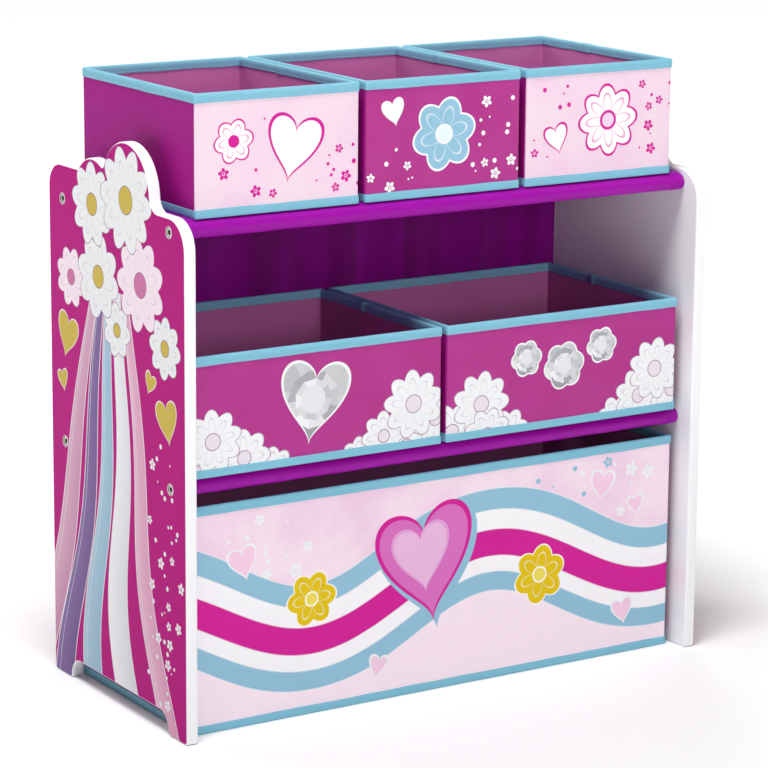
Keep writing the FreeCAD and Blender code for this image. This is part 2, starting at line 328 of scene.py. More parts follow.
brass = Finish("insert_brass", {"Metallic": 1.0})
turned = brass.noise(90.0, 2.0, (30.0, 1.0, 1.0))
brass.show({"Base Color": turned.mix(tone(196, 158, 88), tone(216, 184, 116)),
            "Roughness": turned * 0.2 + 0.24})
brass.bump(turned, 0.00005)
coat(brass, "insert_brass", "rod_end_inserts")

steel = Finish("plated_bolt_steel", {"Metallic": 1.0})
wear = steel.noise(420.0, 3.0)
steel.show({"Base Color": wear.mix(tone(150, 150, 142), tone(196, 196, 190)),
            "Roughness": wear * 0.22 + 0.2})
steel.bump(steel.noise(1500.0, 2.0), 0.00003)
coat(steel, "bolt_steel", "left_panel_bolts", "right_panel_bolts")

# ---------------------------------------------------------------------------
# Shelves: a thin hardboard lies on the rods, and a purple satin sleeve goes
# round both rods and over the board.  Each end of the sleeve is hemmed, and
# the slack cloth under the board hangs down a little.
mm = 0.001
hardboard = Finish("shelf_hardboard", {"Specular IOR Level": 0.3})
fibres = hardboard.noise(500.0, 4.0)
hardboard.show({"Base Color": fibres.mix(tone(104, 74, 50), tone(140, 104, 74)),
                "Roughness": fibres * 0.2 + 0.55})
hardboard.bump(fibres, 0.0001)
coat(hardboard, "shelf_hardboard", "upper_shelf_board", "lower_shelf_board")


def satin(name, dark, light, roughness, crease, pitch=0.7, gloss=0.1):
    """Dyed satin.  Its tone drifts softly, its threads are pitch mm apart, and
    crease is how deep its soft creases are."""
    finish = Finish(name, {"Specular IOR Level": gloss})
    cloudy = finish.noise(9.0)
    finish.show({"Base Color": cloudy.mix(dark, light), "Roughness": cloudy * 0.1 + roughness})
    across, back, up = finish.place.split()
    turn = 2.0 * math.pi / (pitch * mm)
    threads = ((across + back) * turn).math("SINE") * (up * turn).math("SINE")
    weave_depth = 0.00003
    soft = finish.noise(26.0, 3.0, (1.0, 1.0, 0.45))
    finish.bump(threads * 0.5 + soft * (crease / weave_depth), weave_depth)
    return finish


def place_mesh(name, points, faces, finish):
    mesh = bpy.data.meshes.new(name)
    mesh.from_pydata([tuple(point) for point in points], [], faces)
    mesh.update()
    mesh.shade_smooth()
    mesh.set_sharp_from_angle(angle=math.radians(50.0))
    mesh.materials.append(finish.material)
    made = bpy.data.objects.new(name, mesh)
    bpy.context.scene.collection.objects.link(made)
    return made


def net_faces(rows, columns, loop_rows=False, loop_columns=False, flip=False):
    """Quads between rows of points, closed across either way where asked."""
    faces = []
    for row in range(rows if loop_rows else rows - 1):
        above = (row + 1) % rows
        for column in range(columns if loop_columns else columns - 1):
            beside = (column + 1) % columns
            face = (row * columns + column, row * columns + beside,
                    above * columns + beside, above * columns + column)
            faces.append(face[::-1] if flip else face)
    return faces


def thicken(piece, thickness):
    """Gives a cloth its thickness behind the face that shows."""
    solid = piece.modifiers.new("cloth_thickness", "SOLIDIFY")
    solid.thickness = thickness
    solid.offset = -1.0


def uneven(point, length, seed):
    """Smooth uneven values, about -0.7 to 0.7, that change over a length."""
    return noise.noise(Vector(point) * (1.0 / length) + Vector((seed, 0.0, 0.0)))


def ramp(value):
    """0 below 0, 1 above 1 and a smooth rise between."""
    value = min(max(value, 0.0), 1.0)
    return value * value * (3.0 - 2.0 * value)


thread = 0.42 * mm


def stitches(name, lines, pitch, finish):
    """Rows of sewing thread.  Each stitch is a short spindle sunk at both ends,
    and a line is a list of points, each with the direction away from the cloth."""
    points, faces = [], []
    for line in lines:
        places = np.array([place for place, _ in line])
        aways = np.array([away for _, away in line])
        run = np.concatenate([[0.0], np.cumsum(np.linalg.norm(np.diff(places, axis=0), axis=1))])
        for k in range(int(run[-1] / pitch)):
            ends = [(k + share) * pitch for share in (0.1, 0.28, 0.72, 0.9)]
            path = [np.array([np.interp(end, run, places[:, i]) for i in range(3)]) for end in ends]
            away = np.array([np.interp((k + 0.5) * pitch, run, aways[:, i]) for i in range(3)])
            along = path[3] - path[0]
            side = np.cross(along / np.linalg.norm(along), away)
            base = len(points)
            points.append(path[0] - away * thread * 0.5)
            for place in path[1:3]:
                points += [place + away * thread * 0.6, place + side * thread * 0.5,
                           place - away * thread * 0.4, place - side * thread * 0.5]
            points.append(path[3] - away * thread * 0.5)
            for i in range(4):
                j = (i + 1) % 4
                faces.append((base, base + 1 + j, base + 1 + i))
                faces.append((base + 1 + i, base + 1 + j, base + 5 + j, base + 5 + i))
                faces.append((base + 9, base + 5 + i, base + 5 + j))
    return place_mesh(name, points, faces, finish)


sleeve_room = 0.1 * mm
sleeve_cloth = 0.5 * mm
sleeve_sag = 3.5 * mm
sleeve_hem = 15.0 * mm
hem_rise = 0.4 * mm
hem_step = 0.8 * mm
turned_end = 0.4 * mm
end_round = 1.4 * mm
sag_from_end = 60.0 * mm
stitch_pitch = 4.0 * mm
sleeve_satin = satin("shelf_purple_satin", tone(146, 14, 150), tone(162, 22, 166), 0.36, 0.00015,
                     gloss=0.16)
purple_thread = Finish("purple_thread", {"Roughness": 0.6})
purple_thread.show({"Base Color": purple_thread.noise(800.0).mix(tone(92, 8, 92), tone(124, 20, 124))})


def sleeve_section(level):
    """Outside of a shelf sleeve: y, z, direction away from the rods, and how far
    the cloth may stand off.  It runs forwards over the board, down round the
    front rod, back under the rods and up round the back rod."""
    rod_low, rod_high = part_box(level + "_front_rod")
    board_low, board_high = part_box(level + "_shelf_board")
    rod_z = (rod_low.z + rod_high.z) / 2
    radius = (rod_high.z - rod_low.z) / 2 + sleeve_room + sleeve_cloth
    reach_y = -(rod_low.y + rod_high.y) / 2
    edge_y = -board_low.y + 0.3 * mm
    top = board_high.z + sleeve_room + sleeve_cloth
    rise, run = top - rod_z, reach_y - edge_y
    lean = math.atan2(rise, run) + math.acos(radius / math.hypot(rise, run))
    on_top, on_rod = 0.08 * mm, 0.42 * mm
    across = 30
    half = [(edge_y * (1 - 2 * k / across), top, 0.0, 1.0, on_top, 0.0)
            for k in range(across // 2, across + 1)]
    touch = (-reach_y + radius * math.cos(lean), rod_z + radius * math.sin(lean))
    for share in (0.3, 0.65):
        half.append((-edge_y + (touch[0] + edge_y) * share, top + (touch[1] - top) * share,
                     math.cos(lean), math.sin(lean), on_rod * share, 0.0))
    round_steps = 16
    for k in range(round_steps + 1):
        angle = lean + (1.5 * math.pi - lean) * k / round_steps
        half.append((-reach_y + radius * math.cos(angle), rod_z + radius * math.sin(angle),
                     math.cos(angle), math.sin(angle), on_rod, 0.0))
    for k in range(1, across // 2 + 1):
        share = 2 * k / across
        hang = sleeve_sag * math.sin(0.5 * math.pi * share)
        half.append((-reach_y * (1 - share), rod_z - radius, 0.0, -1.0, on_rod, hang))
    back = [(-y, z, -away_y, away_z, slack, hang) for y, z, away_y, away_z, slack, hang in half[::-1]]
    return half + back[1:-1]


for level in ("upper", "lower"):
    cover_low, cover_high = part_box(level + "_shelf_cover")
    section = sleeve_section(level)
    from_end = [0.0, 0.5, 1.4, 4.0, 9.0, 14.2, 15.0, 15.8, 18.0]
    middle_stations = np.linspace(cover_low.x + 22 * mm, cover_high.x - 22 * mm, 96)
    stations = [cover_low.x + d * mm for d in from_end] + list(middle_stations)
    stations += [cover_high.x - d * mm for d in from_end[::-1]]
    rows = []
    for x_at in stations:
        inside_end = min(x_at - cover_low.x, cover_high.x - x_at)
        hem = hem_rise * (1.0 - ramp((inside_end - sleeve_hem + hem_step) / hem_step))
        hem -= turned_end * (1.0 - ramp(inside_end / end_round))
        row = []
        for y_at, z_at, away_y, away_z, slack, hang in section:
            share = 0.5 + 0.7 * uneven((x_at, y_at * 0.6, z_at * 0.6), 24 * mm, 3.0)
            share += 0.5 * uneven((x_at * 0.5 + z_at * 0.8, y_at, z_at), 9 * mm, 8.0)
            off = slack * min(max(share, 0.0), 1.3) + hang * ramp(inside_end / sag_from_end)
            off += hem * min(1.0, slack / hem_rise + 0.35)
            row.append((x_at, y_at + away_y * off, z_at + away_z * off))
        rows.append(row)
    rows = np.array(rows)
    faces = net_faces(len(stations), len(section), loop_columns=True)
    cover = place_mesh(level + "_shelf_sleeve", rows.reshape(-1, 3), faces, sleeve_satin)
    thicken(cover, sleeve_cloth - 0.06 * mm)
    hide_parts(level + "_shelf_cover")
    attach(cover, "frame")
    level + "_front_rod"
    level + "_back_rod"
    level + "_shelf_board"
    hem_lines = []
    nearest, inwards = from_end.index(9.0), 3.4 * mm
    for station, shift in ((nearest, inwards), (len(stations) - 1 - nearest, -inwards)):
        ring = [(rows[station, k], np.array((0.0, section[k][2], section[k][3])))
                for k in range(len(section))]
        hem_lines.append([(at + np.array((shift, 0, 0)), away)
                          for at, away in ring if at[2] > cover_low.z - 1 * mm])
    sewn = stitches(level + "_sleeve_stitching", hem_lines, stitch_pitch, purple_thread)
    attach(sewn, "frame")

# ---------------------------------------------------------------------------
# Back cloth: dark purple satin behind the middle level, sewn between the two
# shelves.  It is a little wider than the gap, so it stands in shallow upright
# folds, and it is hemmed on all four edges.
cloth_low, cloth_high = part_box("back_cloth")
back_y = (cloth_low.y + cloth_high.y) / 2
sewn_in = Vector((0.7 * mm, 0.0, 0.5 * mm))
cloth_low, cloth_high = cloth_low - sewn_in, cloth_high + sewn_in
# Painted sheen and shade: random upright streaks mix a shaded and a lit copy of the purple.
shaded_purple, lit_purple = tone(122, 16, 116), tone(148, 12, 148)
back_satin = satin("back_cloth_satin", shaded_purple, lit_purple, 0.46, 0.0004)
painted_sheen_streaks = back_satin.noise(34.0, 2.0, (1.0, 1.0, 0.06)).math("MULTIPLY_ADD", 3.2, -1.3, clamp=True)
back_satin.show({"Base Color": painted_sheen_streaks.mix(shaded_purple, lit_purple)})
fold_reach, fold_pitch = 2.0 * mm, 86.0 * mm
edge_hem = 11.0 * mm
hem_layer = 0.35 * mm
seam_inset = 9.0 * mm
front_skin, hem_skin = 0.3 * mm, 0.65 * mm


def fold_depth(x_at, z_at):
    """How far the cloth stands behind its middle, at a height."""
    share = (z_at - cloth_low.z) / (cloth_high.z - cloth_low.z)
    free = 0.25 + 0.75 * math.sin(math.pi * min(max(share, 0.0), 1.0))
    drift = 14 * mm * share + 10 * mm * uneven((x_at, 0, z_at), 70 * mm, 1.0)
    wide = math.sin(2 * math.pi * (x_at + drift) / fold_pitch)
    slight = 0.8 * uneven((x_at + drift, 0, z_at * 0.2), 21 * mm, 5.0)
    return fold_reach * free * min(max(0.75 * wide + slight, -1.0), 1.0)


cloth_x = np.linspace(cloth_low.x, cloth_high.x, 194)
cloth_z = np.array([0.0, 0.6, 3.0, 7.0, 10.4, 11.2, 12.0])
cloth_z = np.concatenate([cloth_low.z + cloth_z * mm,
                          np.linspace(cloth_low.z + 18 * mm, cloth_high.z - 18 * mm, 30),
                          cloth_high.z - cloth_z[::-1] * mm])
points = []
for z_at in cloth_z:
    for x_at in cloth_x:
        inside_edge = min(x_at - cloth_low.x, cloth_high.x - x_at, z_at - cloth_low.z, cloth_high.z - z_at)
        hem = hem_layer * (1.0 - ramp((inside_edge - edge_hem + hem_step / 2) / hem_step))
        points.append((x_at, back_y - front_skin + fold_depth(x_at, z_at) - hem, z_at))
cloth = place_mesh("back_cloth_folds", points, net_faces(len(cloth_z), len(cloth_x)), back_satin)
thicken(cloth, 0.6 * mm)
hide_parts("back_cloth")
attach(cloth, "frame")


def hem_point(x_at, z_at):
    """A place on the hem's front and the direction away from the cloth."""
    place = (x_at, back_y - hem_skin + fold_depth(x_at, z_at), z_at)
    return np.array(place), np.array((0.0, -1.0, 0.0))


hem_lines = []
for z_at in (cloth_low.z + seam_inset, cloth_high.z - seam_inset):
    hem_lines.append([hem_point(x_at, z_at) for x_at in cloth_x[3:-3]])
for x_at in (cloth_low.x + seam_inset, cloth_high.x - seam_inset):
    hem_lines.append([hem_point(x_at, z_at) for z_at in cloth_z[5:-5]])
sewn = stitches("back_cloth_stitching", hem_lines, stitch_pitch, purple_thread)
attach(sewn, "frame")

# ---------------------------------------------------------------------------
# Bins: each is a box of stiff card walls and a base card between an outer
# cloth and a lining.  A printed cloth makes the front, a plain wrap the other
# sides and the bottom.  A light-blue tape is folded over the rim, its end
# lapped on the right wall, another goes round the foot, and both are sewn on.
tape_out = 1.0 * mm
wall_cloth = 0.8 * mm
wall_card = 2.0 * mm
lining_cloth = 0.6 * mm
lining_in = tape_out + wall_cloth + wall_card + lining_cloth
base_top = wall_cloth + 2.5 * mm + lining_cloth
outer_corner = 3.4 * mm
tight_corner = 0.8 * mm
rim_tape = 9.0 * mm
foot_tape = 8.0 * mm
corner_steps = 6
wall_step = 5.0 * mm

wrap_satin = satin("bin_wrap_cloth", tone(154, 22, 126), tone(168, 30, 138), 0.5, 0.0002)
lining_satin = satin("bin_lining_cloth", tone(190, 108, 166), tone(200, 120, 176), 0.6, 0.0003)
tape_ribbon = satin("bin_tape_ribbon", tone(122, 184, 206), tone(134, 194, 216), 0.45, 0.00008, 0.9)
tape_thread = Finish("tape_thread", {"Roughness": 0.5, "Sheen Weight": 0.2})
tape_thread.show({"Base Color": tape_thread.noise(800.0).mix(tone(120, 178, 202), tone(160, 208, 226))})
card = Finish("bin_card", {"Specular IOR Level": 0.3})
pulp = card.noise(600.0, 4.0)
card.show({"Base Color": pulp.mix(tone(132, 124, 112), tone(158, 150, 136)),
           "Roughness": pulp * 0.2 + 0.65})
card.bump(pulp, 0.0001)


def wall_ring(low, high, inset):
    """Points and outward directions round a bin, inset from its outside.  The
    ring starts where the front's seam is on the left wall, and goes along the
    front first."""
    radius = max(outer_corner - inset, tight_corner)
    left, right = low.x + inset + radius, high.x - inset - radius
    front, back = low.y + inset + radius, high.y - inset - radius
    centres = [(left, front), (right, front), (right, back), (left, back)]
    lengths = [high.x - low.x, high.y - low.y] * 2
    ring = []
    for k, (x_at, y_at) in enumerate(centres):
        for step in range(corner_steps + 1):
            angle = math.pi * (1.0 + 0.5 * (k + step / corner_steps))
            ring.append((x_at + radius * math.cos(angle), y_at + radius * math.sin(angle),
                         math.cos(angle), math.sin(angle)))
        next_x, next_y = centres[(k + 1) % 4]
        near = [1.0 * mm / lengths[k], 2.6 * mm / lengths[k]]
        evenly = np.linspace(0.0, 1.0, round(lengths[k] / wall_step) + 1)[1:-1]
        for share in [*near, *evenly, 1.0 - near[1], 1.0 - near[0]]:
            ring.append((x_at + (next_x - x_at) * share + radius * math.cos(angle),
                         y_at + (next_y - y_at) * share + radius * math.sin(angle),
                         math.cos(angle), math.sin(angle)))
    return np.array(ring)


def slack_of(x_at, y_at, z_at, away, low, high, seed):
    """How far wall cloth stands off its card: nothing under the tapes and at the
    corners, and soft uneven creases between them."""
    clear, tape_hold, corner_hold = 1.0 * mm, 9.0 * mm, 14.0 * mm
    between = min(z_at - low.z - foot_tape - clear, high.z - rim_tape - clear - z_at)
    to_corner = (min(y_at - low.y, high.y - y_at) if abs(away[0]) > abs(away[1])
                 else min(x_at - low.x, high.x - x_at))
    free = ramp(between / tape_hold) * ramp(to_corner / corner_hold)
    at = (x_at, y_at, z_at * 0.6)
    soft = 0.34 + 0.5 * uneven(at, 52 * mm, seed) + 0.34 * uneven(at, 17 * mm, seed + 7.0)
    pulled = 0.3 * ramp(between / (2.0 * mm)) * uneven((x_at, y_at, z_at * 0.15), 8 * mm, seed + 3.0)
    pulled *= 1.0 - ramp(between / (22.0 * mm))
    return max(0.0, (soft * free + max(pulled, 0.0)) * mm)


def take(points, faces):
    """Only the points that these faces use."""
    used = sorted({corner for face in faces for corner in face})
    order = {old: new for new, old in enumerate(used)}
    return [points[old] for old in used], [tuple(order[corner] for corner in face) for face in faces]


def outer_cloth(name, low, high, front_finish, seed):
    """The bin's outside: the printed front with both front corners, and the wrap."""
    ring = wall_ring(low, high, tape_out)
    columns = len(ring)
    middle = ((low.x + high.x) / 2, (low.y + high.y) / 2)
    points = []
    shrinks = (0.5, 0.75, 0.92, 0.985)
    for shrink in shrinks:
        for x_at, y_at, _, _ in ring:
            x_in, y_in = middle[0] + (x_at - middle[0]) * shrink, middle[1] + (y_at - middle[1]) * shrink
            points.append((x_in, y_in, low.z))
    wall_top = high.z - tape_out
    levels = np.linspace(low.z, wall_top, round((wall_top - low.z) / wall_step) + 1)
    for z_at in levels:
        for x_at, y_at, away_x, away_y in ring:
            off = slack_of(x_at, y_at, z_at, (away_x, away_y), low, high, seed)
            if away_x * away_x > 0.9 and low.z + foot_tape < z_at < high.z - rim_tape:
                past_seam = abs(y_at - low.y - outer_corner) / mm
                welt = math.exp(-((past_seam - 1.6) / 0.8) ** 2)
                groove = math.exp(-(past_seam / 0.7) ** 2)
                off += 0.3 * mm * (welt - 1.2 * groove)
            points.append((x_at + away_x * off, y_at + away_y * off, z_at))
    rows = len(shrinks) + len(levels)
    beside_corners = 4
    along_front = round((high.x - low.x) / wall_step) - 1 + beside_corners
    front_end = 2 * (corner_steps + 1) + along_front - 1
    front_faces, wrap_faces = [], []
    for face in net_faces(rows, columns, loop_columns=True):
        row, column = divmod(face[0], columns)
        on_front = row >= len(shrinks) and column < front_end
        (front_faces if on_front else wrap_faces).append(face)
    wrap_faces.append(tuple(reversed(range(columns))))
    front = place_mesh(name + "_front_cloth", *take(points, front_faces), front_finish)
    wrap = place_mesh(name + "_wrap_cloth", *take(points, wrap_faces), wrap_satin)
    return front, wrap


def lining_bag(name, low, high, seed):
    """The lining: a bag with soft foot edges that lies on the base card."""
    wall_top = high.z - tape_out
    floor_z = low.z + base_top
    soft = 3.0 * mm
    middle = ((low.x + high.x) / 2, (low.y + high.y) / 2)
    points = []
    foot = wall_ring(low, high, lining_in + soft)
    shrinks = np.linspace(0.06, 1.0, 16)
    for shrink in shrinks:
        for x_at, y_at, _, _ in foot:
            x_in, y_in = middle[0] + (x_at - middle[0]) * shrink, middle[1] + (y_at - middle[1]) * shrink
            lift = max(0.0, 0.4 + 0.7 * uneven((x_in, y_in, 0), 34 * mm, seed + 11.0)) * mm
            points.append((x_in, y_in, floor_z + lift * (1.0 - shrink ** 8)))
    knee = wall_ring(low, high, lining_in + 0.3 * soft)
    points += [(x_at, y_at, floor_z + 0.3 * soft) for x_at, y_at, _, _ in knee]
    ring = wall_ring(low, high, lining_in)
    levels = np.linspace(floor_z + soft, wall_top, round((wall_top - floor_z) / wall_step) + 1)
    for z_at in levels:
        for x_at, y_at, away_x, away_y in ring:
            off = slack_of(x_at, y_at, z_at, (away_x, away_y), low, high, seed + 5.0)
            points.append((x_at - away_x * off, y_at - away_y * off, z_at))
    rows = len(shrinks) + 1 + len(levels)
    faces = net_faces(rows, len(ring), loop_columns=True, flip=True)
    faces.append(tuple(range(len(ring))))
    return place_mesh(name + "_lining_bag", points, faces, lining_satin)


# Cross-sections of the tapes: inset from the bin's outside, and height from the
# rim or from the floor, in mm.  They pull in where the stitches run.
rim_section = [(0.4, -9.0), (0.12, -8.5), (0.3, -7.3), (0.06, -5.8), (0.0, -3.8), (0.08, -1.9), (0.6, -0.7),
               (1.6, -0.12), (2.7, 0.0), (3.8, -0.12), (4.8, -0.7), (5.32, -1.9), (5.4, -3.8), (5.34, -5.8),
               (5.1, -7.3), (5.28, -8.5), (5.0, -9.0), (4.46, -9.0), (4.42, -1.3), (1.0, -1.0), (0.97, -9.0)]
foot_section = [(1.0, 0.0), (0.5, 0.05), (0.1, 0.6), (0.0, 2.2), (0.0, 4.0), (0.06, 5.4), (0.3, 6.5),
                (0.12, 7.5), (0.4, 8.0), (0.98, 8.0)]
rim_stitch = -7.3
foot_stitch = 6.5
fold_middle = 2.7
outer_face_in, inner_face_in = 0.9, 4.5


def tape_points(section, low, high, base_z, seed):
    """Rings of points for a tape, one for each point of its cross-section.  It
    bulges a little at the corners, and its edges run unevenly."""
    points = []
    for inset, height in section:
        side = 1.0 if inset < fold_middle else -1.0
        free = inset < outer_face_in or inset > inner_face_in
        sewn_edge = abs(height) > 7.0
        for x_at, y_at, away_x, away_y in wall_ring(low, high, inset * mm):
            wave = 0.26 * uneven((x_at, y_at, base_z), 16 * mm, seed)
            wave += 0.2 * uneven((x_at, y_at, 0), 45 * mm, seed)
            wave += 0.44 * abs(away_x * away_y)
            off = (wave * mm if free else 0.0) * side
            droop = 0.6 * uneven((x_at, y_at, 9.0), 34 * mm, seed + 2.0) if sewn_edge else 0.0
            points.append((x_at + away_x * off, y_at + away_y * off, base_z + (height + droop) * mm))
    return points


def lap(low, high, y_at):
    """The tape's end where it laps over its start on the right wall."""
    length, step_up = 12.0 * mm, 0.42
    points = []
    for run, share in ((0.0, 0.2), (0.5 * mm, 1.0), (length - 0.5 * mm, 1.0), (length, 0.2)):
        for inset, height in rim_section:
            if inset < outer_face_in:
                out = inset - step_up * share
            elif inset > inner_face_in:
                out = inset + step_up * share
            else:
                out = inset
            rise = step_up * share if height > -1.0 else 0.0
            points.append((high.x - out * mm, y_at + run, high.z + (height + rise) * mm))
    count = len(rim_section)
    faces = net_faces(4, count, loop_columns=True)
    faces += [tuple(reversed(range(count))), tuple(range(3 * count, 4 * count))]
    return points, [face[::-1] for face in faces]


def make_bin(name, front_finish, front_slot, seed):
    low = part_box(name + "_bottom_binding")[0]
    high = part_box(name + "_top_binding")[1]
    width, depth, height = high - low
    front, wrap = outer_cloth(name, low, high, front_finish, seed)
    thicken(front, wall_cloth - 0.05 * mm)
    thicken(wrap, wall_cloth - 0.05 * mm)
    bag = lining_bag(name, low, high, seed)
    thicken(bag, lining_cloth - 0.05 * mm)
    columns = len(wall_ring(low, high, 0.0))
    rim_points = tape_points(rim_section, low, high, high.z, seed)
    rim_faces = net_faces(len(rim_section), columns, loop_rows=True, loop_columns=True)
    lap_points, lap_faces = lap(low, high, low.y + 0.6 * depth)
    rim_faces += [tuple(corner + len(rim_points) for corner in face) for face in lap_faces]
    rim = place_mesh(name + "_rim_tape", rim_points + lap_points, rim_faces, tape_ribbon)
    foot_points = tape_points(foot_section, low, high, low.z, seed + 20.0)
    foot_faces = net_faces(len(foot_section), columns, loop_rows=True, loop_columns=True)
    foot = place_mesh(name + "_foot_tape", foot_points, foot_faces, tape_ribbon)
    rim_row, foot_row = high.z + rim_stitch * mm, low.z + foot_stitch * mm
    lines = []
    for inset, row_z, side in ((0.3, rim_row, 1.0), (5.1, rim_row, -1.0), (0.3, foot_row, 1.0)):
        ring = wall_ring(low, high, inset * mm)
        ring = np.vstack([ring, ring[:1]])
        lines.append([(np.array((x_at, y_at, row_z)), np.array((away_x, away_y, 0.0)) * side)
                      for x_at, y_at, away_x, away_y in ring])
    sewn = stitches(name + "_tape_stitching", lines, stitch_pitch, tape_thread)
    for piece, node, slot in ((front, "_front_panel", front_slot), (wrap, "_wrap", "bin_wrap"),
                              (bag, "_lining", "bin_lining"), (rim, "_top_binding", "bin_binding"),
                              (foot, "_bottom_binding", "bin_binding")):
        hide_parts(name + node)
        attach(piece, name)
    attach(sewn, name)
    coat(card, "bin_board", name + "_wall_boards", name + "_base_board")


def front_print(name, bin_name, ground, tint):
    """A front's printed satin, its drawing plane in mm from the middle of the
    front's foot edge, and its ground, airbrushed with a tint here and there."""
    finish = satin(name, ground, ground, 0.42, 0.00025)
    low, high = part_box(bin_name + "_bottom_binding")
    x_mm, _, z_mm = finish.place.vector("MULTIPLY", to_mm).split()
    art = finish.flat(x_mm - middle_mm(low.x, high.x), z_mm - 1000.0 * low.z)
    clouds = finish.noise(17.0, 3.0).math("MULTIPLY_ADD", 2.6, -1.0, clamp=True)
    return finish, art, clouds.mix(ground, tint)


pale_pink = tone(248, 225, 238)
# Painted shade: the upper bins' fronts take a darker copy of the pale pink, which holds back the stronger
# lamplight on the upper shelf.
shaded_pale_pink = tone(239, 215, 227)
airbrush_pink = tone(238, 200, 227)
deep_pink = tone(178, 63, 141)
wine_pink = tone(172, 56, 134)
hot_pink = tone(210, 38, 150)
sky_blue = tone(146, 192, 216)

# ---------------------------------------------------------------------------
# Small bins on the upper shelf.  The outer two have a pale pink front with
# magenta line flowers and hearts, the middle one a magenta front with a
# light-blue flower.
petal_white = tone(252, 246, 251)
pink_line = {"line": hot_pink, "width": 2.8, "petal": petal_white, "middle": tone(250, 210, 234)}
thin_line = {"line": hot_pink, "width": 1.8, "petal": petal_white, "middle": hot_pink}

print_left, art, colour = front_print("top_left_front_print", "top_left_bin", shaded_pale_pink, airbrush_pink)
large = [((16.0, 58.0), 32.0), ((-48.0, 70.0), 22.0)]
colour = strew(colour, art, (58.0, 46.0, 40.0, 30.0), large, 22, 21, hot_pink)
colour = strew(colour, art, (-20.0, 54.0, 60.0, 40.0), large, 16, 22, hot_pink)
colour = ink(colour, heart(art, (16.0, 57.0), 31.0, -12.0), hot_pink, 3.2, petal_white)
colour = daisy(colour, art, (-48.0, 70.0), 22.0, 6, thin_line, 10.0)
print_left.show({"Base Color": colour})
make_bin("top_left_bin", print_left, "front_pale_pink", 1.0)

print_middle, art, colour = front_print("top_middle_front_print", "top_middle_bin", deep_pink, wine_pink)
blue_flower = {"line": white_print, "width": 2.4, "petal": sky_blue, "middle": tone(226, 240, 246)}
large = [((0.0, 60.0), 38.0), ((-58.0, 84.0), 14.0)]
colour = strew(colour, art, (54.0, 52.0, 36.0, 40.0), large, 20, 31, white_print)
colour = strew(colour, art, (-56.0, 50.0, 32.0, 42.0), large, 18, 32, white_print)
colour = daisy(colour, art, (0.0, 60.0), 37.0, 6, blue_flower, 14.0)
colour = heart(art, (-58.0, 84.0), 13.0, 12.0).edge().mix(colour, white_print)
print_middle.show({"Base Color": colour})
make_bin("top_middle_bin", print_middle, "front_magenta", 2.0)

print_right, art, colour = front_print("top_right_front_print", "top_right_bin", shaded_pale_pink, airbrush_pink)
large = [((10.0, 60.0), 38.0), ((-52.0, 44.0), 16.0)]
colour = strew(colour, art, (58.0, 56.0, 34.0, 38.0), large, 20, 41, hot_pink)
colour = strew(colour, art, (-52.0, 62.0, 36.0, 36.0), large, 18, 42, hot_pink)
colour = daisy(colour, art, (10.0, 60.0), 37.0, 8, pink_line, 4.0)
colour = ink(colour, heart(art, (-52.0, 44.0), 15.0, 14.0), hot_pink, 2.2, petal_white)
print_right.show({"Base Color": colour})
make_bin("top_right_bin", print_right, "front_pale_pink", 3.0)

# ---------------------------------------------------------------------------
# Wide bins on the lower shelf: magenta fronts with white daisies that grow from
# both foot corners, one with a silver faceted heart, one with three silver
# flowers.
pale_daisy = {"line": tone(176, 140, 166), "width": 1.0, "petal": white_print, "middle": tone(232, 222, 232)}


def facets(colour, art, shape, centre, size, count, rim):
    """A white-rimmed silver shape cut like a stone: rings of straight-edged grey
    facets round a light flat middle."""
    place = spot(art, centre, size)
    across, up, _ = place.split()
    sector_angle = 2.0 * math.pi / count
    turn = up.math("ARCTAN2", across) * (1.0 / sector_angle) + count
    colour = shape.edge().mix(colour, white_print)
    rings = ((9.0, 150, 226), (0.7, 164, 240), (0.5, 190, 236), (0.34, 226, 226))
    for ring, (flat_side, dark, light) in enumerate(rings):
        shifted = turn + 0.5 * ring
        sector = shifted.math("FLOOR")
        straight = ((shifted - sector - 0.5) * sector_angle).math("COSINE")
        inside = (flat_side - reach(place) * straight) * size
        pick = sector.math("MODULO", count) * 3.7 + 11.0 * ring
        chance = art.finish.node("ShaderNodeTexWhiteNoise", {"noise_dimensions": "1D"}, {"W": pick})
        shade = chance.mix(tone(dark, dark + 2, dark + 6), tone(light, light + 2, light + 3))
        colour = inside.math("MINIMUM", shape - rim).edge().mix(colour, shade)
    return colour


print_heart, art, colour = front_print("middle_left_front_print", "middle_left_bin", deep_pink, wine_pink)
for centre, size, petals in (((-134.0, 6.0), 28.0, 7), ((-50.0, 0.0), 22.0, 7), ((-82.0, 14.0), 29.0, 8),
                             ((-116.0, 34.0), 32.0, 9), ((46.0, 0.0), 20.0, 7), ((100.0, 2.0), 30.0, 7),
                             ((74.0, 16.0), 26.0, 8), ((134.0, 26.0), 28.0, 7), ((108.0, 44.0), 35.0, 9)):
    colour = daisy(colour, art, centre, size, petals, pale_daisy, petals * 6.0)
colour = facets(colour, art, heart(art, (-6.0, 57.0), 39.0, -8.0), (-6.0, 62.0), 39.0, 9.0, 2.8)
print_heart.show({"Base Color": colour})
make_bin("middle_left_bin", print_heart, "front_magenta", 4.0)

